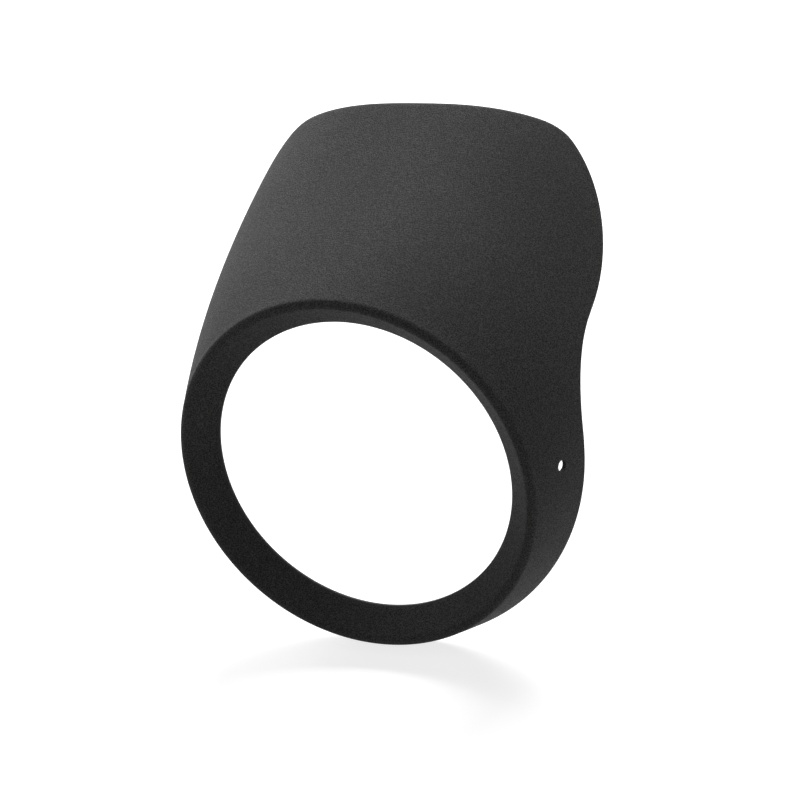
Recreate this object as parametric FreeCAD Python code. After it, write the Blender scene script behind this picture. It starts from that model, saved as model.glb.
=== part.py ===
import FreeCAD, Part
import math
import os

# Headlight fairing for a round motorbike headlamp.
#
# One moulded sheet of even thickness. Round the lamp it is a ring: a dished lip runs from the opening
# forward and out to a rounded crest, and a flared wall runs back from the crest. Over the lamp the same
# wall goes on as a long hood, and its section changes from a circle to a broad, square-shouldered arch.
# One trim line, the same on both sides, cuts the wall short at the bottom, sweeps back through a waist
# and ends the hood. A bolt hole on each side takes the bolt that also holds the lamp.
#
# Frame: the origin is the centre of the opening, in the plane of its front edge. The lamp's axis is Y and
# the front faces -Y, Z is up and X = 0 is the plane of symmetry. Millimetres and degrees. A run is a
# distance along the axis, counted back from the crest.

Vector = FreeCAD.Vector
X_AXIS = Vector(1, 0, 0)
Y_AXIS = Vector(0, 1, 0)

# The sheet, the opening and the lip
WALL = 2.5
OPENING_R = 89.0
OPENING_LAND = 2.0
LIP_WIDTH = 17.3
LIP_DISH = 44.0
CREST_ROUND = 3.7
RIM_BEVEL = 0.6

# The skin: a plain cone for a short collar behind the crest, then its sides curve in until they are
# parallel to the axis, its top curves up a little and its shoulders fill out
FLARE = 19.2
COLLAR = 8.5
SIDE_PARALLEL = 122.5
HOOD_SWEEP = 0.000156
SHOULDER = 2.7
SHOULDER_AT = 151.5

# The trim line, seen from the side
RING_REAR = 32.2
RING_LEAN = 8.4
WAIST_FROM = 13.8
WAIST_R = 71.7
HAUNCH_R = 147.0
CORNER_R = 15.3
CORNER_UP = 146.6
HOOD_BACK = 139.3
HOOD_LEAN = 26.5

# The side bolt holes
BOLT_R = 3.2
BOLT_BACK = 11.2
BOLT_UP = 2.5

# How the skin is drawn
SKIN_MARGIN = 14.0
SKIN_STATIONS = 5
SECTION_POINTS = 32

# Sizes that follow from the ones above
DISH_SLOPE = math.tan(math.radians(LIP_DISH))
FLARE_SLOPE = math.tan(math.radians(FLARE))
CREST_R = OPENING_R + LIP_WIDTH
CREST_LEAD = LIP_WIDTH * DISH_SLOPE
LIP_SHIFT = WALL / math.cos(math.radians(LIP_DISH))


def side_reach(run):
    """Half-width of the skin: it flares as the collar does and then comes parallel to the axis."""
    beyond = max(run - COLLAR, 0)
    return CREST_R + FLARE_SLOPE * (run - beyond ** 2 / (2 * SIDE_PARALLEL))


def top_reach(run):
    """Height of the skin's top above the axis: it gets a little steeper to the rear."""
    beyond = max(run - COLLAR, 0)
    return CREST_R + FLARE_SLOPE * run + HOOD_SWEEP * beyond ** 2


def bottom_reach(run):
    """Depth of the skin's bottom below the axis."""
    return CREST_R + FLARE_SLOPE * run


def inset_by(reach, run, depth):
    """A reach measured to a surface that lies the given depth inside the skin."""
    step = 0.5
    slope = (reach(run + step) - reach(run - step)) / (2 * step)
    return reach(run) - depth * math.hypot(1, slope)


def collar_section(depth):
    """The skin's round section where the collar ends, or that of the surface at a depth inside it."""
    radius = bottom_reach(COLLAR) - depth * math.hypot(1, FLARE_SLOPE)
    return Part.Wire([Part.Circle(Vector(0, COLLAR - CREST_LEAD, 0), Y_AXIS, radius).toShape()])


def section(run, depth):
    """Closed section of the skin behind the collar, or of the surface at a depth inside it.

    Below the axis it is a half ellipse. Above, the ellipse's exponent grows from 2 at the collar, where
    the section is a true circle, so that the shoulders fill out and the hood becomes a broad arch.
    """
    width = inset_by(side_reach, run, depth)
    height = inset_by(top_reach, run, depth)
    drop = inset_by(bottom_reach, run, depth)
    exponent = 2 + (SHOULDER - 2) * (run - COLLAR) / SHOULDER_AT
    points = []
    for index in range(SECTION_POINTS):
        angle = 2 * math.pi * index / SECTION_POINTS - math.pi / 2
        across, up = math.cos(angle), math.sin(angle)
        reach, power = (height, exponent) if up > 0 else (drop, 2)
        radius = (abs(across / width) ** power + abs(up / reach) ** power) ** (-1 / power)
        points.append(Vector(radius * across, run - CREST_LEAD, radius * up))
    curve = Part.BSplineCurve()
    curve.interpolate(Points=points, PeriodicFlag=True)
    return Part.Wire([curve.toShape()])


def rounded_corner(before, corner, after, radius):
    """Arc of a radius that rounds a corner of an outline, tangent to both of its sides."""
    back = (before - corner).normalize()
    ahead = (after - corner).normalize()
    half_angle = back.getAngle(ahead) / 2
    tangent = radius / math.tan(half_angle)
    middle = (back + ahead).normalize() * (radius / math.sin(half_angle) - radius)
    return Part.Arc(corner + back * tangent, corner + middle, corner + ahead * tangent)


def ring():
    """Lip, crest and collar, turned as one profile.

    The lip's edge at the opening is a short land with a bevel behind it. Outside, the crest is an arc.
    Inside, its corner is cut straight across, so that the sheet keeps its thickness there.
    """
    inner_slant = WALL * math.hypot(1, FLARE_SLOPE)
    collar_rear = COLLAR - CREST_LEAD
    opening = Vector(OPENING_R, 0, 0)
    crest = Vector(CREST_R, -CREST_LEAD, 0)
    collar = Vector(bottom_reach(COLLAR), collar_rear, 0)
    inside_collar = Vector(collar.x - inner_slant, collar_rear, 0)
    lip_rise = LIP_SHIFT + CREST_LEAD + OPENING_R * DISH_SLOPE
    inside_r = (CREST_R - inner_slant + FLARE_SLOPE * lip_rise) / (1 + FLARE_SLOPE * DISH_SLOPE)
    inside_crest = Vector(inside_r, LIP_SHIFT - (inside_r - OPENING_R) * DISH_SLOPE, 0)
    bevel = (LIP_SHIFT - OPENING_LAND) / (1 + DISH_SLOPE)
    bevel_end = Vector(OPENING_R + bevel, OPENING_LAND + bevel, 0)
    land_end = Vector(OPENING_R, OPENING_LAND, 0)

    round_outside = rounded_corner(opening, crest, collar, CREST_ROUND)
    cut_inside = WALL / 2
    inside_from = inside_crest + (inside_collar - inside_crest).normalize() * cut_inside
    inside_to = inside_crest + (bevel_end - inside_crest).normalize() * cut_inside
    profile = [
        Part.LineSegment(opening, round_outside.StartPoint),
        round_outside,
        Part.LineSegment(round_outside.EndPoint, collar),
        Part.LineSegment(collar, inside_collar),
        Part.LineSegment(inside_collar, inside_from),
        Part.LineSegment(inside_from, inside_to),
        Part.LineSegment(inside_to, bevel_end),
        Part.LineSegment(bevel_end, land_end),
        Part.LineSegment(land_end, opening),
    ]
    outline = Part.Wire([piece.toShape() for piece in profile])
    return Part.Face(outline).revolve(Vector(0, 0, 0), Y_AXIS, 360)


def meeting_point(centre_a, radius_a, centre_b, radius_b):
    """Of the two points at radius_a from one centre and radius_b from the other, the one further up."""
    gap = centre_b - centre_a
    along = Vector(gap).normalize()
    up = Vector(0, -along.z, along.y)
    foot = (gap.Length ** 2 + radius_a ** 2 - radius_b ** 2) / (2 * gap.Length)
    return centre_a + along * foot + up * math.sqrt(radius_a ** 2 - foot ** 2)


def trim_points():
    """The points that fix the trim line, seen from the side.

    From below, each stretch tangent to the last: the ring's rear edge, straight and leaning back a little;
    the waist, a hollow arc; the haunch, a full arc; the hood's rounded corner; and its straight rear edge.
    """
    ring_lean = math.radians(RING_LEAN)
    ring_up = Vector(0, math.sin(ring_lean), math.cos(ring_lean))
    ring_out = Vector(0, math.cos(ring_lean), -math.sin(ring_lean))
    hood_lean = math.radians(HOOD_LEAN)
    hood_up = Vector(0, -math.sin(hood_lean), math.cos(hood_lean))
    hood_in = Vector(0, -math.cos(hood_lean), -math.sin(hood_lean))

    waist_start = Vector(0, RING_REAR, 0) + ring_up * (WAIST_FROM / ring_up.z)
    waist_centre = waist_start + ring_out * WAIST_R
    hood_top = Vector(0, HOOD_BACK, top_reach(HOOD_BACK + CREST_LEAD))
    corner_line = hood_top + hood_in * CORNER_R
    corner_centre = corner_line - hood_up * ((corner_line.z - CORNER_UP) / hood_up.z)
    haunch_centre = meeting_point(waist_centre, WAIST_R + HAUNCH_R, corner_centre, HAUNCH_R - CORNER_R)
    corner_end = corner_centre - hood_in * CORNER_R
    return {
        "below": waist_start - ring_up * (3 * CREST_R / ring_up.z),
        "waist_start": waist_start,
        "waist_centre": waist_centre,
        "waist_end": waist_centre + (haunch_centre - waist_centre).normalize() * WAIST_R,
        "haunch_centre": haunch_centre,
        "haunch_end": haunch_centre + (corner_centre - haunch_centre).normalize() * HAUNCH_R,
        "corner_centre": corner_centre,
        "corner_end": corner_end,
        "above": corner_end + hood_up * (CREST_R / hood_up.z),
    }


def skin_end():
    """Run of a plane behind every point of the trim line."""
    points = trim_points()
    rearmost = max(points["haunch_centre"].y + HAUNCH_R, points["corner_end"].y)
    return rearmost + CREST_LEAD + SKIN_MARGIN


def skin_body(depth):
    """Solid filled by the skin behind the collar, or by the surface at a depth inside it."""
    stretch = (skin_end() - COLLAR) / (SKIN_STATIONS - 1)
    runs = [COLLAR + stretch * index for index in range(1, SKIN_STATIONS)]
    return Part.makeLoft([collar_section(depth)] + [section(run, depth) for run in runs], True)


def arc_about(centre, start, end):
    """The shorter arc about a centre from start to end."""
    middle = centre + ((start - centre) + (end - centre)).normalize() * (start - centre).Length
    return Part.Arc(start, middle, end)


def trim_space():
    """Everything behind the trim line, as one prism across the part."""
    at = trim_points()
    far = skin_end() + SKIN_MARGIN
    far_below = Vector(0, far, at["below"].z)
    far_above = Vector(0, far, at["above"].z)
    path = [
        Part.LineSegment(at["below"], at["waist_start"]),
        arc_about(at["waist_centre"], at["waist_start"], at["waist_end"]),
        arc_about(at["haunch_centre"], at["waist_end"], at["haunch_end"]),
        arc_about(at["corner_centre"], at["haunch_end"], at["corner_end"]),
        Part.LineSegment(at["corner_end"], at["above"]),
        Part.LineSegment(at["above"], far_above),
        Part.LineSegment(far_above, far_below),
        Part.LineSegment(far_below, at["below"]),
    ]
    outline = Part.Wire([piece.toShape() for piece in path])
    half = 2 * CREST_R
    prism = Part.Face(outline).extrude(X_AXIS * 2 * half)
    prism.translate(X_AXIS * -half)
    return prism


def edges_on(shape, surface):
    """Edges of a shape that lie on another shape's surface and are longer than the sheet is thick."""
    found = []
    for edge in shape.Edges:
        points = edge.discretize(9)
        touching = all(surface.distToShape(Part.Vertex(point))[0] < 0.01 for point in points)
        if touching and edge.Length > 2 * WALL:
            found.append(edge)
    return found


def bolt_hole(side):
    """Drill through one side wall, square to the sheet."""
    run = BOLT_BACK + CREST_LEAD
    slope = side_reach(run + 0.5) - side_reach(run - 0.5)
    mouth = Vector(side * side_reach(run), BOLT_BACK, BOLT_UP)
    inward = Vector(-side, slope, 0).normalize()
    return Part.makeCylinder(BOLT_R, 6 * WALL, mouth - inward * 3 * WALL, inward)


def fairing_shell():
    """The whole moulding: ring and hood in one, trimmed, its rim bevelled and its bolt holes drilled."""
    shell = ring().fuse(skin_body(0).cut(skin_body(WALL)))
    behind = trim_space()
    shell = shell.cut(behind)
    shell = shell.makeChamfer(RIM_BEVEL, edges_on(shell, behind))
    for side in (1, -1):
        shell = shell.cut(bolt_hole(side))
    return shell


os.makedirs("parts", exist_ok=True)
fairing = fairing_shell()
fairing.exportStep("parts/fairing_shell.step")
box = fairing.optimalBoundingBox()
print("solids", len(fairing.Solids), "valid", fairing.isValid(), "volume", round(fairing.Volume))
print("x", round(box.XMin, 2), round(box.XMax, 2))
print("y", round(box.YMin, 2), round(box.YMax, 2))
print("z", round(box.ZMin, 2), round(box.ZMax, 2))
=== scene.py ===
# %% [markdown]
# # A round-lamp headlight fairing in moulded black plastic
#
# The real object is one thin moulding: a dished ring round the lamp and a long hood swept back over it.
# The imported CAD model is loaded first. It gives the frame that everything here is placed in, and its box
# is kept and printed, and the floor is laid just under it.

# %% Load the frame
import math

import bmesh
import bpy
from mathutils import Matrix, Vector


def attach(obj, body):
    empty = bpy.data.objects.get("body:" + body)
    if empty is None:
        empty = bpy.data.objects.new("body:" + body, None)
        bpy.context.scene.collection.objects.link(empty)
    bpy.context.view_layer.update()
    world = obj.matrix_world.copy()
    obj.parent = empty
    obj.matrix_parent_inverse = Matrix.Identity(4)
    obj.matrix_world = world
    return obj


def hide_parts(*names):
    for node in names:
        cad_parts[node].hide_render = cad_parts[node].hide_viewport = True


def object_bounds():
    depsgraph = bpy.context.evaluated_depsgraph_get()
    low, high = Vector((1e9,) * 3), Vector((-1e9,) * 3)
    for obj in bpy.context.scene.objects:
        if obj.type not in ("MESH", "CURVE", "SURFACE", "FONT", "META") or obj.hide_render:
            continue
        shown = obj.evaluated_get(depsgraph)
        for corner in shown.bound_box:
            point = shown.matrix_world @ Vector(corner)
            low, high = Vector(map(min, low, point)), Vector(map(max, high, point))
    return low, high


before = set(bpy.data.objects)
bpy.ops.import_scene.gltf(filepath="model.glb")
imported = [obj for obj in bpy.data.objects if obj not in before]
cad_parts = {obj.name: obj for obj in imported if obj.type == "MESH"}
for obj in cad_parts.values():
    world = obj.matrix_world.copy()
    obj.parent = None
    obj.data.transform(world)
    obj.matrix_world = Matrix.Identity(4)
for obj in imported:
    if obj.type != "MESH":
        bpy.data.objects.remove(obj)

MM = 0.001

size_before = [list(corner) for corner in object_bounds()]
print("box of the CAD model, metres:", size_before)

# %% [markdown]
# ## The camera
#
# The fairing is seen with a long lens from about 28 degrees to its right and 26 degrees above. It leans in
# the picture, because the real one stands on its flared bottom wall with its nose down and turned a little.
# The model could be leaned over on its floor. Instead the camera is turned the same way, so the fairing
# keeps its own upright frame, in which its sizes are easy to read.

# %% Place the camera
CAMERA_PLACE = Vector((0.7075, -1.3409, 0.7343))
CAMERA_RIGHT = Vector((0.91063, 0.38931, -0.13852))
CAMERA_UP = Vector((-0.05036, 0.43728, 0.89792))
LENS_MM = 135.5
SENSOR_MM = 36.0


def put_in_scene(name, data):
    """A new object in the scene, at the origin, that shows the given data."""
    thing = bpy.data.objects.new(name, data)
    bpy.context.scene.collection.objects.link(thing)
    return thing


camera_data = bpy.data.cameras.new("camera")
camera_data.lens = LENS_MM
camera_data.sensor_width = SENSOR_MM
camera = put_in_scene("camera", camera_data)
camera_back = CAMERA_RIGHT.cross(CAMERA_UP).normalized()
turn = Matrix((CAMERA_RIGHT, CAMERA_UP, camera_back)).transposed()
camera.matrix_world = Matrix.Translation(CAMERA_PLACE) @ turn.to_4x4()
bpy.context.scene.camera = camera
print("camera distance, metres:", round(CAMERA_PLACE.length, 3))

# %% [markdown]
# ## The sizes of the moulding
#
# The mould maker's drawing needs few numbers: the sheet's thickness, the opening, the lip, the flare of
# the skin and the trim line. They are the CAD model's own driving sizes, here in metres, so the finer skin
# made below lies on the solid that it stands for. Only the finish differs. The land inside the opening is a
# little shorter, and the rims and hole edges are rounded, where the solid has bevels and plain corners.

# %% State the driving sizes
WALL = 2.5 * MM
OPENING_R = 89.0 * MM
LIP_WIDTH = 17.3 * MM
DISH_SLOPE = math.tan(math.radians(44.0))
CREST_ROUND = 3.7 * MM

FLARE_SLOPE = math.tan(math.radians(19.2))
COLLAR = 8.5 * MM
SIDE_PARALLEL = 122.5 * MM
HOOD_SWEEP = 0.156
SHOULDER = 2.7
SHOULDER_AT = 151.5 * MM

RING_REAR = 32.2 * MM
RING_LEAN = math.radians(8.4)
WAIST_FROM = 13.8 * MM
WAIST_R = 71.7 * MM
HAUNCH_R = 147.0 * MM
CORNER_R = 15.3 * MM
CORNER_UP = 146.6 * MM
HOOD_BACK = 139.3 * MM
HOOD_LEAN = math.radians(26.5)

BOLT_R = 3.2 * MM
BOLT_BACK = 11.2 * MM
BOLT_UP = 2.5 * MM

OPENING_LAND = 1.4 * MM
RIM_ROUND = 0.7 * MM
EDGE_ROUND = 0.4 * MM

CREST_R = OPENING_R + LIP_WIDTH
CREST_LEAD = LIP_WIDTH * DISH_SLOPE
LIP_SHIFT = WALL * math.hypot(1, DISH_SLOPE)
print("crest radius and its lead over the opening, metres:", round(CREST_R, 4), round(CREST_LEAD, 4))

# %% [markdown]
# ## The trim line
#
# Once out of the mould, the skin ends along one smooth line, seen best from the side: the ring's rear
# edge, a hollow waist, a full haunch, the hood's rounded corner and its rear edge. A spline could be pulled
# to it by eye. Tangent arcs are what a maker draws, and their centres follow from the sizes, as they would
# with a pair of compasses. In the plane used here, x is how far back a place lies and y is how far up.

# %% Find the centres of the trim line's arcs


def meeting_point(centre_a, radius_a, centre_b, radius_b):
    """Of the two points at radius_a from one centre and radius_b from the other, the one further up."""
    gap = centre_b - centre_a
    along = gap.normalized()
    up = Vector((-along.y, along.x))
    foot = (gap.length ** 2 + radius_a ** 2 - radius_b ** 2) / (2 * gap.length)
    return centre_a + along * foot + up * math.sqrt(radius_a ** 2 - foot ** 2)


hood_run = HOOD_BACK + CREST_LEAD
hood_top_up = CREST_R + FLARE_SLOPE * hood_run + HOOD_SWEEP * (hood_run - COLLAR) ** 2
hood_up = Vector((-math.sin(HOOD_LEAN), math.cos(HOOD_LEAN)))
hood_in = Vector((-math.cos(HOOD_LEAN), -math.sin(HOOD_LEAN)))

waist_start = Vector((RING_REAR + WAIST_FROM * math.tan(RING_LEAN), WAIST_FROM))
waist_centre = waist_start + Vector((math.cos(RING_LEAN), -math.sin(RING_LEAN))) * WAIST_R
corner_line = Vector((HOOD_BACK, hood_top_up)) + hood_in * CORNER_R
corner_centre = corner_line - hood_up * ((corner_line.y - CORNER_UP) / hood_up.y)
haunch_centre = meeting_point(waist_centre, WAIST_R + HAUNCH_R, corner_centre, HAUNCH_R - CORNER_R)
waist_end = waist_centre + (haunch_centre - waist_centre).normalized() * WAIST_R
haunch_end = haunch_centre + (corner_centre - haunch_centre).normalized() * HAUNCH_R
corner_end = corner_centre - hood_in * CORNER_R
turns = [round(place.y, 4) for place in (waist_start, waist_end, haunch_end, corner_end)]
print("the trim line turns at heights, metres:", turns)

# %% [markdown]
# ## The ring's corners
#
# Cut through the ring, and the sheet shows a lip whose front and back faces meet the skin in corners. No
# moulding has a sharp one: plastic doesn't fill it and it would cut the hand. A Bevel modifier could round
# them on the finished mesh, but every later step would meet its extra edges. Rounding the corners of the
# drawing first is simpler, as each radius is then exact. Here x is the distance from the lamp's axis and y
# is how far back a place lies.

# %% Round the corners of the lip and the crest
EDGE_STEPS = 3
OPENING_STEPS = 4
CREST_STEPS = 14
INSIDE_STEPS = 8


def arc_points(before, corner, after, radius, steps):
    """Points of the arc that rounds a corner, from its first side to its second."""
    back = (before - corner).normalized()
    ahead = (after - corner).normalized()
    half_angle = back.angle(ahead) / 2
    cut = radius / math.tan(half_angle)
    centre = corner + (back + ahead).normalized() * (radius / math.sin(half_angle))
    first = corner + back * cut - centre
    last = corner + ahead * cut - centre
    sweep = first.angle(last)
    found = []
    for step in range(steps + 1):
        passed = sweep * step / steps
        spoke = first * math.sin(sweep - passed) + last * math.sin(passed)
        found.append(centre + spoke / math.sin(sweep))
    return found


inner_slant = WALL * math.hypot(1, FLARE_SLOPE)
lip_rise = LIP_SHIFT + CREST_LEAD + OPENING_R * DISH_SLOPE
inside_r = (CREST_R - inner_slant + FLARE_SLOPE * lip_rise) / (1 + FLARE_SLOPE * DISH_SLOPE)
bevel = (LIP_SHIFT - OPENING_LAND) / (1 + DISH_SLOPE)

opening = Vector((OPENING_R, 0))
land_end = Vector((OPENING_R, OPENING_LAND))
bevel_end = Vector((OPENING_R + bevel, OPENING_LAND + bevel))
crest = Vector((CREST_R, -CREST_LEAD))
collar = crest + Vector((FLARE_SLOPE, 1)) * COLLAR
inside_crest = Vector((inside_r, LIP_SHIFT - (inside_r - OPENING_R) * DISH_SLOPE))
inside_collar = Vector((collar.x - inner_slant, collar.y))

land_round = arc_points(bevel_end, land_end, opening, EDGE_ROUND, EDGE_STEPS)
opening_round = arc_points(land_end, opening, crest, EDGE_ROUND, OPENING_STEPS)
crest_round = arc_points(opening, crest, collar, CREST_ROUND, CREST_STEPS)
inside_round = arc_points(inside_collar, inside_crest, bevel_end, CREST_ROUND - WALL, INSIDE_STEPS)
bevel_round = arc_points(inside_crest, bevel_end, land_end, EDGE_ROUND, EDGE_STEPS)
print("the rounded crest stands before the opening by, metres:", round(-min(p.y for p in crest_round), 4))

# %% [markdown]
# ## The sheet's profile
#
# Cut the moulding from the opening back to its rear edge and the cut shows a thin closed outline: the lip's
# edge, its dished face, the rounded crest, the outer skin, the rounded rim, and the inner skin back again.
# The ring's part has fixed places. The skin's part only says how far along it each point lies, from the
# crest to the trim, and how deep in the sheet, because its place depends on where round the lamp it is.
# So the profile is a loop of points that carry these numbers as attributes, which a node tree can read.

# %% List the points of the profile
LIP_STEPS = 10
OUTSIDE_STEPS = 76
RIM_STEPS = 6
BACKWARD_STEPS = 48

profile = []


def add_ring_points(places, rim_edge=0.0):
    """Points of the lip and the crest, which have the same place all round the lamp."""
    for place in places:
        profile.append({"on_skin": 0.0, "from_axis": place.x, "run": place.y + CREST_LEAD, "share": 0.0,
                        "setback": 0.0, "depth": 0.0, "rim_edge": rim_edge})


def add_skin_point(first_run, share, setback, depth, rim_edge=0.0):
    """A point of the skin: a share of the way from a run near the crest to the trim line, at a depth."""
    profile.append({"on_skin": 1.0, "from_axis": 0.0, "run": first_run, "share": share,
                    "setback": setback, "depth": depth, "rim_edge": rim_edge})


def straight_points(start, end, steps):
    """Points between two places, without the places themselves."""
    return [start.lerp(end, step / steps) for step in range(1, steps)]


outside_from = crest_round[-1].y + CREST_LEAD
inside_from = inside_round[0].y + CREST_LEAD
rim_arc = []
for step in range(RIM_STEPS + 1):
    angle = math.radians(90 * step / RIM_STEPS)
    rim_arc.append((RIM_ROUND * (1 - math.sin(angle)), RIM_ROUND * (1 - math.cos(angle))))

# The opening's edge and the rear rim get the paler, smoother surface.
add_ring_points(land_round + opening_round, rim_edge=1.0)
add_ring_points(straight_points(opening_round[-1], crest_round[0], LIP_STEPS))
add_ring_points(crest_round[:-1])
for step in range(OUTSIDE_STEPS):
    add_skin_point(outside_from, step / OUTSIDE_STEPS, RIM_ROUND, 0.0)
for setback, depth in rim_arc:
    add_skin_point(outside_from, 1.0, setback, depth, rim_edge=1.0)
for rise, setback in rim_arc:
    add_skin_point(inside_from, 1.0, setback, WALL - rise, rim_edge=1.0)
for step in range(1, BACKWARD_STEPS):
    add_skin_point(inside_from, 1 - step / BACKWARD_STEPS, RIM_ROUND, WALL)
add_ring_points(inside_round)
add_ring_points(straight_points(inside_round[-1], bevel_round[0], LIP_STEPS))
add_ring_points(bevel_round)
print("points in the profile:", len(profile))

# %% [markdown]
# The list becomes a mesh of edges only, one closed loop. A curve object could carry the points too, but a
# mesh takes a named attribute for each of their numbers with one call.

# %% Make the loop with its attributes
profile_mesh = bpy.data.meshes.new("profile")
profile_mesh.from_pydata(
    [(point["from_axis"], point["run"], 0) for point in profile],
    [(index, (index + 1) % len(profile)) for index in range(len(profile))],
    [],
)
for name in profile[0]:
    numbers = profile_mesh.attributes.new(name, "FLOAT", "POINT")
    numbers.data.foreach_set("value", [point[name] for point in profile])
print("attributes of the profile:", list(profile[0]))

# %% [markdown]
# ## Sums in a node tree
#
# The plastic and the moulding both need sums of many steps, and long sums are hard to read as boxes and
# wires. So a small helper class lets Python's own signs add the Math nodes. It works in material trees and
# in geometry trees, which share the Math node.

# %% Write sums that become Math nodes


class Sum:
    """A number on its way through a node tree. Python's signs add the Math nodes that work it out."""

    def __init__(self, tree, socket):
        self.tree = tree
        self.socket = socket

    def through(self, operation, *others):
        """This number and any others put through one Math node."""
        node = self.tree.nodes.new("ShaderNodeMath")
        node.operation = operation
        for value, socket in zip((self, *others), node.inputs):
            if isinstance(value, Sum):
                self.tree.links.new(value.socket, socket)
            else:
                socket.default_value = value
        return Sum(self.tree, node.outputs[0])

    def __add__(self, other):
        return self.through("ADD", other)

    def __sub__(self, other):
        return self.through("SUBTRACT", other)

    def __mul__(self, other):
        return self.through("MULTIPLY", other)

    def __truediv__(self, other):
        return self.through("DIVIDE", other)

    def __pow__(self, other):
        return self.through("POWER", other)

    def or_if_above(self, height, limit, instead):
        """This number, or another one where a height is above a limit."""
        above = height.through("GREATER_THAN", limit)
        switch = add_node(self.tree, "GeometryNodeSwitch",
                          {"Switch": above, "False": self, "True": instead}, input_type="FLOAT")
        return Sum(self.tree, switch.outputs["Output"])


def add_node(tree, kind, inputs=None, **settings):
    """A new node with its settings, and a socket, a sum or a plain value for each named input."""
    node = tree.nodes.new(kind)
    for name, value in settings.items():
        setattr(node, name, value)
    for name, value in (inputs or {}).items():
        if isinstance(value, Sum):
            value = value.socket
        if isinstance(value, bpy.types.NodeSocket):
            tree.links.new(value, node.inputs[name])
        else:
            node.inputs[name].default_value = value
    return node


practice = bpy.data.node_groups.new("practice", "GeometryNodeTree")
answer = Sum(practice, practice.nodes.new("ShaderNodeValue").outputs["Value"]) * 2.0 + 1.0
print("twice a number and one takes", len(practice.nodes) - 1, "Math nodes")
bpy.data.node_groups.remove(practice)

# %% [markdown]
# ## The plastic
#
# The moulding is matte black with a fine spark-eroded grain. Close up that is thousands of rounded pits,
# each well under a millimetre, with the plastic a little darker in the pits. A Voronoi texture could draw
# round pits, but they come out too even. Noise is uneven, as the real grain is, so fine noise drives the
# bump, the tone and the roughness together. A broad, faint noise stands for the uneven gloss that a large
# moulding keeps from its mould. Along the rims and the opening's edge the grain is flatter, the plastic a
# shade paler and a little less rough: the profile's points carry that as an attribute.

# %% State the plastic's tones and textures
GRAIN_SCALE = 1600.0
GRAIN_DETAIL = 1.0
GRAIN_MIDDLE = (0.41, 0.59)
COARSE_SCALE = 420.0
COARSE_DETAIL = 2.0
COARSE_MIDDLE = (0.35, 0.65)
COARSE_EFFECT = (0.75, 1.25)
HAZE_SCALE = 11.0
HAZE_DETAIL = 3.0
HAZE_MIDDLE = (0.3, 0.7)
PIT_DEPTH = 0.3 * MM
PIT_STRENGTH = 0.9

PIT_TONE = (0.0030, 0.0030, 0.0030, 1)
PEAK_TONE = (0.0510, 0.0510, 0.0498, 1)
HAZE_TONE = (0.0180, 0.0180, 0.0174, 1)
# The rims and the opening's edge are mixed toward this paler tone, with flatter grain and less roughness.
RIM_EDGE_TONE = (0.0350, 0.0350, 0.0350, 1)
HAZE_MOST = 0.22
RIM_EDGE_MOST = 0.5
RIM_EDGE_GRAIN = 0.35

DULLNESS = (0.69, 0.75)
GRAIN_DULLNESS = (0.02, -0.04)
RIM_EDGE_SHINE = 0.12
MIRROR_LEVEL = 0.17


def new_material(name):
    """A new material, its node tree, and its Principled shader, which is already joined to the output."""
    material = bpy.data.materials.new(name)
    material.use_nodes = True
    return material, material.node_tree, material.node_tree.nodes["Principled BSDF"]


def noise(tree, scale, detail):
    """Uneven noise in the object's own space."""
    place = add_node(tree, "ShaderNodeTexCoord").outputs["Object"]
    node = add_node(tree, "ShaderNodeTexNoise", {"Vector": place, "Scale": scale, "Detail": detail})
    return Sum(tree, node.outputs["Fac"])


def spread(value, to_low, to_high, low=0.0, high=1.0):
    """A number moved from one range to another, and held inside it."""
    node = add_node(value.tree, "ShaderNodeMapRange",
                    {"Value": value, "From Min": low, "From Max": high, "To Min": to_low, "To Max": to_high})
    return Sum(value.tree, node.outputs["Result"])


def blend(share, first, second):
    """The first colour, with a share of the second mixed in."""
    node = add_node(share.tree, "ShaderNodeMix", {"Factor": share, "A": first, "B": second}, data_type="RGBA")
    return node.outputs["Result"]


print("grain, millimetres across:", round(1000 / GRAIN_SCALE, 2))

# %% [markdown]
# Three noises are enough. The coarse one only makes the fine one stronger here and weaker there, as a
# mould's surface wears. Each goes through Map Range, which stretches its middle until pits and peaks part.

# %% Mix the grained black plastic


def grained_black_plastic():
    """Matte black plastic with a fine grain, a faint haze and paler, smoother rims."""
    material, tree, shader = new_material("grained_black_plastic")
    rim_edge_reader = add_node(tree, "ShaderNodeAttribute", attribute_name="rim_edge")
    rim_edge = Sum(tree, rim_edge_reader.outputs["Fac"])
    fine = spread(noise(tree, GRAIN_SCALE, GRAIN_DETAIL), 0.0, 1.0, *GRAIN_MIDDLE)
    coarse = spread(noise(tree, COARSE_SCALE, COARSE_DETAIL), *COARSE_EFFECT, *COARSE_MIDDLE)
    haze = spread(noise(tree, HAZE_SCALE, HAZE_DETAIL), 0.0, 1.0, *HAZE_MIDDLE)
    grain = fine * coarse * spread(rim_edge, 1.0, RIM_EDGE_GRAIN)

    bump = add_node(tree, "ShaderNodeBump", {"Strength": PIT_STRENGTH, "Distance": PIT_DEPTH, "Height": grain})
    tree.links.new(bump.outputs["Normal"], shader.inputs["Normal"])

    tone = blend(grain, PIT_TONE, PEAK_TONE)
    tone = blend(spread(haze, 0.0, HAZE_MOST), tone, HAZE_TONE)
    # Along the rims and the opening's edge the tone is mixed toward a paler one.
    tone = blend(spread(rim_edge, 0.0, RIM_EDGE_MOST), tone, RIM_EDGE_TONE)
    tree.links.new(tone, shader.inputs["Base Color"])

    dull = spread(haze, *DULLNESS) + spread(grain, *GRAIN_DULLNESS) + spread(rim_edge, 0.0, -RIM_EDGE_SHINE)
    tree.links.new(dull.socket, shader.inputs["Roughness"])
    shader.inputs["Specular IOR Level"].default_value = MIRROR_LEVEL
    return material


plastic = grained_black_plastic()
print("nodes in the plastic:", len(plastic.node_tree.nodes))

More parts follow.
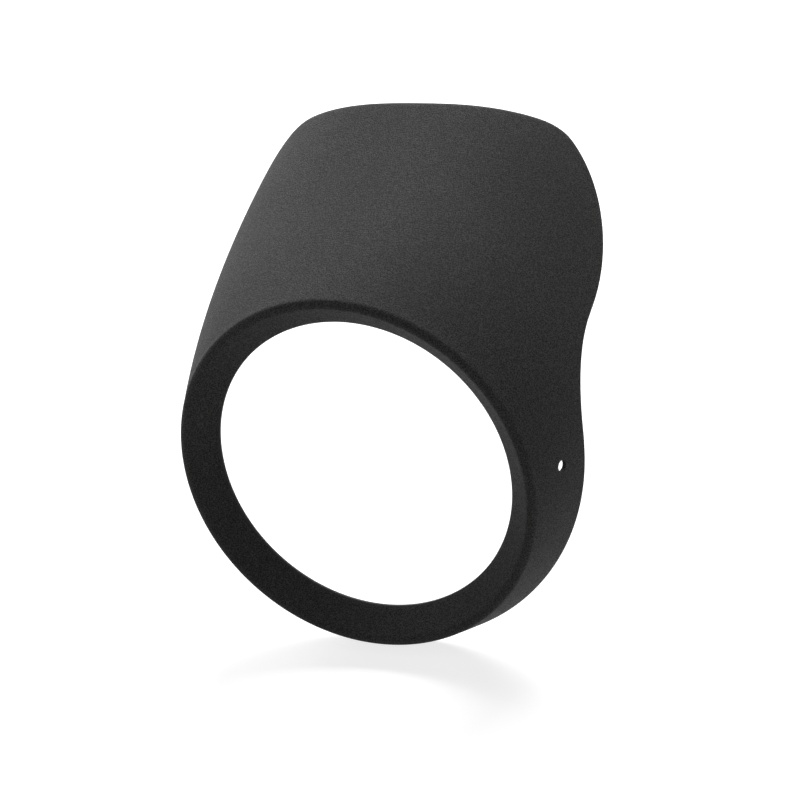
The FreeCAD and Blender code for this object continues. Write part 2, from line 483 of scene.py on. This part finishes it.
# %% [markdown]
# ## The rule of the skin
#
# The moulding's shape is a rule: how far the skin lies from the lamp's axis at a given run behind the crest
# and a given angle round the lamp. It could be sculpted or subdivided from a rough cage, but then it would
# only come near its sizes. Geometry Nodes can follow the rule itself.
#
# For a short collar behind the crest the skin is a plain cone. After that its sides curve in until they are
# parallel to the axis, its top sweeps up a little, and above the axis the circle turns into a superellipse
# with full shoulders. The inner face is the same rule, drawn in by the sheet's thickness measured square to
# the slope. These functions only wire up nodes, so each can be read like the formula that it stands for.

# %% Wire the rule of the skin


def skin_radius(sizes, run, angle, depth):
    """Distance from the lamp's axis to the skin, or to the surface at a depth inside it."""
    across = angle.through("COSINE").through("ABSOLUTE")
    up = angle.through("SINE")
    beyond = (run - sizes["Collar"]).through("MAXIMUM", 0.0)

    side = sizes["Crest Radius"] + sizes["Flare"] * (run - beyond * beyond / (sizes["Side Parallel"] * 2.0))
    side_slope = sizes["Flare"] - sizes["Flare"] * beyond / sizes["Side Parallel"]
    bottom = sizes["Crest Radius"] + sizes["Flare"] * run
    top = bottom + sizes["Hood Sweep"] * beyond * beyond
    top_slope = sizes["Flare"] + sizes["Hood Sweep"] * beyond * 2.0
    upright = bottom.or_if_above(up, 0.0, top)
    upright_slope = sizes["Flare"].or_if_above(up, 0.0, top_slope)

    width = side - depth * (side_slope * side_slope + 1.0).through("SQRT")
    height = upright - depth * (upright_slope * upright_slope + 1.0).through("SQRT")
    fuller = (sizes["Shoulder"] - 2.0) * beyond / sizes["Shoulder At"]
    power = (fuller * up.through("GREATER_THAN", 0.0)) + 2.0
    total = (across / width) ** power + (up.through("ABSOLUTE") / height) ** power
    return total ** ((power ** -1.0) * -1.0)


def arc_back(centre_back, centre_up, radius, up, side):
    """How far back an arc of the trim line lies at a height, on the front or the rear side of its centre."""
    rise = up - centre_up
    return centre_back + (radius * radius - rise * rise).through("MAXIMUM", 0.0).through("SQRT") * side


def trim_back(sizes, up):
    """How far back the trim line lies at a height."""
    back = sizes["Ring Rear"] + up * sizes["Ring Lean"]
    for name, side in (("Waist", -1.0), ("Haunch", 1.0), ("Corner", 1.0)):
        arc = arc_back(sizes[name + " Back"], sizes[name + " Up"], sizes[name + " Radius"], up, side)
        back = back.or_if_above(up, sizes[name + " From"], arc)
    straight = sizes["Hood Back"] - (up - sizes["Hood Top"]) * sizes["Hood Lean"]
    return back.or_if_above(up, sizes["Hood From"], straight)


print("by the rule the hood's top ends at a height, metres:", round(hood_top_up, 4))

# %% [markdown]
# ## The bolt holes
#
# A hole on each side takes the bolt that holds the lamp. A cylinder could cut it, but would leave knife
# edges. So the tool that cuts it is a round bar, lathed in nodes: a line becomes a solid of round section,
# and the Scale input of Curve to Mesh swells it where the bar meets the two faces of the sheet. The cut
# then leaves a hole whose two edges are slightly rounded, like the real one's.

# %% Wire the bar that cuts a bolt hole
BAR_HALF = 6 * MM
BAR_STEP = 0.1 * MM
BAR_SIDES = 48


def hole_bar(tree, sizes, side):
    """A round bar through one side wall: 1 is the wall on the right, -1 the one on the left."""
    centre = [sizes["Bolt Across"] * side, sizes["Bolt Back"], sizes["Bolt Up"]]
    aim = [sizes["Bolt Aim Across"] * side, sizes["Bolt Aim Back"], 0.0]
    ends = []
    for way in (-BAR_HALF, BAR_HALF):
        place = {axis: middle + part * way for axis, middle, part in zip("XYZ", centre, aim)}
        ends.append(add_node(tree, "ShaderNodeCombineXYZ", place).outputs["Vector"])
    line = add_node(tree, "GeometryNodeCurvePrimitiveLine", {"Start": ends[0], "End": ends[1]})
    steps = add_node(tree, "GeometryNodeResampleCurve",
                     {"Curve": line.outputs["Curve"], "Count": round(2 * BAR_HALF / BAR_STEP) + 1})
    along = Sum(tree, add_node(tree, "GeometryNodeSplineParameter").outputs["Length"])
    from_middle = (along - BAR_HALF).through("ABSOLUTE")
    swell = (from_middle - (sizes["Sheet"] / 2.0 - sizes["Hole Round"])).through("MAXIMUM", 0.0)
    swell = swell.through("MINIMUM", sizes["Hole Round"])
    round_over = (sizes["Hole Round"] * sizes["Hole Round"] - swell * swell).through("SQRT")
    radius = sizes["Bolt Radius"] + sizes["Hole Round"] - round_over
    circle = add_node(tree, "GeometryNodeCurvePrimitiveCircle", {"Resolution": BAR_SIDES, "Radius": 1.0})
    bar = add_node(tree, "GeometryNodeCurveToMesh",
                   {"Curve": steps.outputs["Curve"], "Profile Curve": circle.outputs["Curve"],
                    "Scale": radius, "Fill Caps": True})
    return bar.outputs["Mesh"]


print("the bar is", 2000 * BAR_HALF, "mm long and has", BAR_SIDES, "sides")

# %% [markdown]
# ## Carry the profile round the lamp
#
# A circle with the profile on it makes the grid of points. Each point keeps its angle round the lamp as an
# attribute, because once the points move that can't be told from the grid any more.

# %% Wire the grid of points
STEPS_ROUND = 288


def attribute(tree, name):
    """A named attribute of the points, as a number."""
    node = add_node(tree, "GeometryNodeInputNamedAttribute", {"Name": name}, data_type="FLOAT")
    return Sum(tree, node.outputs["Attribute"])


def store(tree, geometry, name, value):
    """The same geometry, with a number kept on its points under a name."""
    node = add_node(tree, "GeometryNodeStoreNamedAttribute",
                    {"Geometry": geometry, "Name": name, "Value": value}, data_type="FLOAT")
    return node.outputs["Geometry"]


def grid_of_points(tree, profile_loop):
    """The profile carried round a circle, with each point's angle stored."""
    ring = add_node(tree, "GeometryNodeCurvePrimitiveCircle", {"Resolution": STEPS_ROUND, "Radius": 1.0})
    turn = Sum(tree, add_node(tree, "GeometryNodeInputIndex").outputs["Index"]) * (2 * math.pi / STEPS_ROUND)
    ring = store(tree, ring.outputs["Curve"], "angle", turn)
    loop = add_node(tree, "GeometryNodeMeshToCurve", {"Mesh": profile_loop})
    grid = add_node(tree, "GeometryNodeCurveToMesh", {"Curve": ring, "Profile Curve": loop.outputs["Curve"]})
    return grid.outputs["Mesh"]


print("points in the grid:", STEPS_ROUND * len(profile))

# %% [markdown]
# ## Find the end of the skin
#
# Where the skin ends is not known at first, because the trim line is drawn in the side view and the skin
# spreads as it runs back. The line could be cut with a boolean, but that leaves ragged faces at the rim. So
# a Repeat Zone finds the end step by step: it asks how high the skin is at its present end, how far back
# the trim line lies at that height, and moves the end there. The step shrinks each time, since the skin's
# slope is mild. After that each point can be set in its place.

# %% Wire the search for the trim and set the points
TRIM_PASSES = 16
TRIM_EASE = 0.03 * MM


def find_trim(tree, sizes, grid, angle, depth):
    """The grid with end_run on its points: the run at which the skin meets the trim line there."""
    begin = tree.nodes.new("GeometryNodeRepeatInput")
    finish = tree.nodes.new("GeometryNodeRepeatOutput")
    begin.pair_with_output(finish)
    begin.inputs["Iterations"].default_value = TRIM_PASSES
    guess = store(tree, grid, "end_run", sizes["Ring Rear"] + sizes["Crest Lead"])
    tree.links.new(guess, begin.inputs["Geometry"])
    height = skin_radius(sizes, attribute(tree, "end_run"), angle, depth) * angle.through("SINE")
    better = trim_back(sizes, height) + sizes["Crest Lead"]
    tree.links.new(store(tree, begin.outputs["Geometry"], "end_run", better), finish.inputs["Geometry"])
    return finish.outputs["Geometry"]


def set_points(tree, sizes, grid, angle, depth):
    """The grid with each point where it belongs: in the ring, or on the skin by the rule."""
    first_run, share = attribute(tree, "run"), attribute(tree, "share")
    last_run = attribute(tree, "end_run") - attribute(tree, "setback") - TRIM_EASE
    run = first_run + (last_run - first_run) * share
    ring_radius, on_skin = attribute(tree, "from_axis"), attribute(tree, "on_skin")
    radius = ring_radius + (skin_radius(sizes, run, angle, depth) - ring_radius) * on_skin
    place = add_node(tree, "ShaderNodeCombineXYZ",
                     {"X": radius * angle.through("COSINE"), "Y": run - sizes["Crest Lead"],
                      "Z": radius * angle.through("SINE")})
    laid = add_node(tree, "GeometryNodeSetPosition", {"Geometry": grid, "Position": place.outputs["Vector"]})
    return laid.outputs["Geometry"]


print("passes of the search:", TRIM_PASSES)

# %% [markdown]
# ## The whole tree
#
# Now the steps are joined. The bars cut the bolt holes with an exact boolean, which keeps the sheet closed.
# Shading is smooth all over but for edges that fold by more than a set angle, such as those that the cut
# leaves inside a hole. The tree ends in Realize Instances and Set Material, so what comes out is plain mesh.

# %% Build the tree
SHARPEST_SMOOTH = math.radians(32)


def drill_holes(tree, sizes, sheet):
    """The sheet with both bolt holes cut through it."""
    drill = add_node(tree, "GeometryNodeMeshBoolean", {"Mesh 1": sheet}, operation="DIFFERENCE", solver="EXACT")
    for side in (1.0, -1.0):
        tree.links.new(hole_bar(tree, sizes, side), drill.inputs["Mesh 2"])
    return drill.outputs["Mesh"]


def shade_smooth(tree, sheet):
    """The sheet shaded smooth, but for its true edges."""
    smooth = add_node(tree, "GeometryNodeSetShadeSmooth", {"Geometry": sheet}, domain="FACE")
    fold = Sum(tree, add_node(tree, "GeometryNodeInputMeshEdgeAngle").outputs["Unsigned Angle"])
    sharp = add_node(tree, "GeometryNodeSetShadeSmooth",
                     {"Geometry": smooth.outputs["Geometry"], "Shade Smooth": False,
                      "Selection": fold.through("GREATER_THAN", SHARPEST_SMOOTH)}, domain="EDGE")
    return sharp.outputs["Geometry"]


def moulding_tree(values, material):
    """The tree that takes the profile and the sizes, and gives the finished moulding."""
    tree = bpy.data.node_groups.new("lay_the_moulding", "GeometryNodeTree")
    tree.interface.new_socket("Profile", in_out="INPUT", socket_type="NodeSocketGeometry")
    for name in values:
        tree.interface.new_socket(name, in_out="INPUT", socket_type="NodeSocketFloat")
    tree.interface.new_socket("Moulding", in_out="OUTPUT", socket_type="NodeSocketGeometry")
    start = tree.nodes.new("NodeGroupInput")
    end = tree.nodes.new("NodeGroupOutput")
    sizes = {name: Sum(tree, start.outputs[name]) for name in values}
    angle, depth = attribute(tree, "angle"), attribute(tree, "depth")

    grid = grid_of_points(tree, start.outputs["Profile"])
    grid = find_trim(tree, sizes, grid, angle, depth)
    sheet = set_points(tree, sizes, grid, angle, depth)
    sheet = shade_smooth(tree, drill_holes(tree, sizes, sheet))
    real = add_node(tree, "GeometryNodeRealizeInstances", {"Geometry": sheet})
    dressed = add_node(tree, "GeometryNodeSetMaterial",
                       {"Geometry": real.outputs["Geometry"], "Material": material})
    tree.links.new(dressed.outputs["Geometry"], end.inputs["Moulding"])
    return tree


print("edges stay sharp from, degrees:", round(math.degrees(SHARPEST_SMOOTH)))

# %% [markdown]
# The tree's inputs are the driving sizes and what follows from them. The bolt holes are drilled square to
# the wall, so their place and their aim come from the skin's own reach and slope beside the lamp.

# %% Give the tree its sizes
hole_run = BOLT_BACK + CREST_LEAD
hole_beyond = max(hole_run - COLLAR, 0)
hole_slope = FLARE_SLOPE * (1 - hole_beyond / SIDE_PARALLEL)
hole_reach = CREST_R + FLARE_SLOPE * (hole_run - hole_beyond ** 2 / (2 * SIDE_PARALLEL))
hole_aim = Vector((1, -hole_slope)).normalized()
values = {
    "Sheet": WALL, "Crest Radius": CREST_R, "Crest Lead": CREST_LEAD, "Flare": FLARE_SLOPE, "Collar": COLLAR,
    "Side Parallel": SIDE_PARALLEL, "Hood Sweep": HOOD_SWEEP, "Shoulder": SHOULDER, "Shoulder At": SHOULDER_AT,
    "Ring Rear": RING_REAR, "Ring Lean": math.tan(RING_LEAN),
    "Waist From": waist_start.y, "Waist Back": waist_centre.x, "Waist Up": waist_centre.y,
    "Waist Radius": WAIST_R,
    "Haunch From": waist_end.y, "Haunch Back": haunch_centre.x, "Haunch Up": haunch_centre.y,
    "Haunch Radius": HAUNCH_R,
    "Corner From": haunch_end.y, "Corner Back": corner_centre.x, "Corner Up": corner_centre.y,
    "Corner Radius": CORNER_R,
    "Hood From": corner_end.y, "Hood Back": HOOD_BACK, "Hood Top": hood_top_up,
    "Hood Lean": math.tan(HOOD_LEAN),
    "Bolt Radius": BOLT_R, "Hole Round": EDGE_ROUND, "Bolt Up": BOLT_UP,
    "Bolt Across": hole_reach - hole_aim.x * WALL / 2, "Bolt Back": BOLT_BACK - hole_aim.y * WALL / 2,
    "Bolt Aim Across": hole_aim.x, "Bolt Aim Back": hole_aim.y,
}
tree = moulding_tree(values, plastic)
print("nodes in the tree:", len(tree.nodes), "with sizes:", len(values))

# %% [markdown]
# ## Make the moulding a plain mesh
#
# The tree runs as a modifier on the profile. Its sizes are set by each input's identifier before it first
# runs. The boolean leaves an empty material slot, so the slots are cleared and the plastic is given once.
# The moulding takes the place of the CAD shell.

# %% Run the tree and keep its mesh
maker = put_in_scene("maker", profile_mesh)
modifier = maker.modifiers.new("lay_the_moulding", "NODES")
modifier.node_group = tree
for item in tree.interface.items_tree:
    if item.in_out == "INPUT" and item.name in values:
        modifier[item.identifier] = values[item.name]
evaluated = maker.evaluated_get(bpy.context.evaluated_depsgraph_get())
moulding_mesh = bpy.data.meshes.new_from_object(evaluated)
maker.modifiers.clear()
bpy.data.objects.remove(maker)
moulding_mesh.materials.clear()
moulding_mesh.materials.append(plastic)

moulding = put_in_scene("fairing_moulding", moulding_mesh)
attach(moulding, "root")
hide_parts("fairing_shell")

checker = bmesh.new()
checker.from_mesh(moulding_mesh)
open_edges = sum(1 for edge in checker.edges if not edge.is_manifold)
volume_cm3 = checker.calc_volume(signed=True) * 1e6
print("faces:", len(checker.faces), "open edges:", open_edges, "volume, cm3:", round(volume_cm3, 1))
checker.free()

# %% [markdown]
# ## The floor
#
# The ring stands on a plain pale floor. White paint alone would not do: at this light it renders grey, and
# more light would wash out the plastic. So the floor adds a steady glow to its own shading for what the
# camera sees, also in gloss, which the Light Path node picks out. Near the object the glow leaves room for
# a soft shadow where the ring stands. Further off it rises until the floor is as white as the room.

# %% Lay the floor
FLOOR_HALF = 2.0
FLOOR_GAP = 0.5 * MM
FLOOR_TONE = (0.52, 0.52, 0.52, 1)
FLOOR_ROUGHNESS = 0.9
GLOW = (0.78, 1.0)
GLOW_RISES = (0.5, 1.5)


def white_where_seen(tree):
    """A share that is 1 for what the camera sees, also in gloss or through something clear."""
    rays = add_node(tree, "ShaderNodeLightPath")
    share = Sum(tree, rays.outputs["Is Camera Ray"])
    for name in ("Is Glossy Ray", "Is Transmission Ray"):
        share = share.through("MAXIMUM", Sum(tree, rays.outputs[name]))
    return share


def white_floor():
    """Pale floor that keeps a shadow near the object and is white further off."""
    material, tree, shader = new_material("white_floor")
    shader.inputs["Base Color"].default_value = FLOOR_TONE
    shader.inputs["Roughness"].default_value = FLOOR_ROUGHNESS
    shader.inputs["Specular IOR Level"].default_value = 0.0
    place = add_node(tree, "ShaderNodeTexCoord").outputs["Object"]
    reach = add_node(tree, "ShaderNodeVectorMath", {0: place}, operation="LENGTH")
    glow = spread(Sum(tree, reach.outputs["Value"]), *GLOW, *GLOW_RISES)
    glow = add_node(tree, "ShaderNodeEmission", {"Strength": glow})
    plain = shader.outputs["BSDF"]
    glowing = add_node(tree, "ShaderNodeAddShader", {0: plain, 1: glow.outputs["Emission"]})
    pick = add_node(tree, "ShaderNodeMixShader",
                    {"Fac": white_where_seen(tree), 1: plain, 2: glowing.outputs["Shader"]})
    tree.links.new(pick.outputs["Shader"], tree.nodes["Material Output"].inputs["Surface"])
    return material


floor_up = size_before[0][2] - FLOOR_GAP
floor_mesh = bpy.data.meshes.new("floor")
corners = [(x * FLOOR_HALF, y * FLOOR_HALF, floor_up) for x, y in ((-1, -1), (1, -1), (1, 1), (-1, 1))]
floor_mesh.from_pydata(corners, [], [(0, 1, 2, 3)])
floor = put_in_scene("floor", floor_mesh)
floor.data.materials.append(white_floor())
print("floor at height, metres:", round(floor_up, 4))

# %% [markdown]
# ## The light
#
# Soft square lamps light the plastic. The strongest hangs behind and above, so that the hood's top is lit
# and its right flank falls away into shade, which is what draws its curve. A second one behind on the left
# lights the edge there, and two weak ones in front open up the lip. The room itself is nearly dark, but the
# camera and the plastic's gloss see it as plain white, again through the Light Path node.

# %% Hang the lamps and whiten the room
LAMP_SIZE = 1.2
LAMPS = {
    "top_rear_lamp": ((0.0, 1.3, 1.4), 42.0),
    "left_rear_lamp": ((-1.3, 1.1, 0.9), 18.0),
    "front_lamp": ((0.4, -1.3, 1.5), 3.5),
    "low_front_lamp": ((0.9, -1.6, 0.1), 6.0),
}
ROOM_TONE = (0.025, 0.025, 0.025, 1)
WHITE = (1, 1, 1, 1)


def soft_lamp(name, place, watts):
    """A square soft box at a place, turned to shine at the middle of the object."""
    data = bpy.data.lights.new(name, "AREA")
    data.size = LAMP_SIZE
    data.energy = watts
    lamp = put_in_scene(name, data)
    lamp.location = place
    lamp.rotation_euler = (-Vector(place)).to_track_quat("-Z", "Y").to_euler()


for name, (place, watts) in LAMPS.items():
    soft_lamp(name, place, watts)

world = bpy.data.worlds.new("studio")
bpy.context.scene.world = world
world.use_nodes = True
room_tree = world.node_tree
room = room_tree.nodes["Background"]
room.inputs["Color"].default_value = ROOM_TONE
white = add_node(room_tree, "ShaderNodeBackground", {"Color": WHITE})
choice = add_node(room_tree, "ShaderNodeMixShader",
                  {"Fac": white_where_seen(room_tree), 1: room.outputs["Background"],
                   2: white.outputs["Background"]})
room_tree.links.new(choice.outputs["Shader"], room_tree.nodes["World Output"].inputs["Surface"])
bpy.context.scene.view_settings.view_transform = "Standard"
print("lamps:", len(LAMPS), "with watts in all:", sum(watts for place, watts in LAMPS.values()))
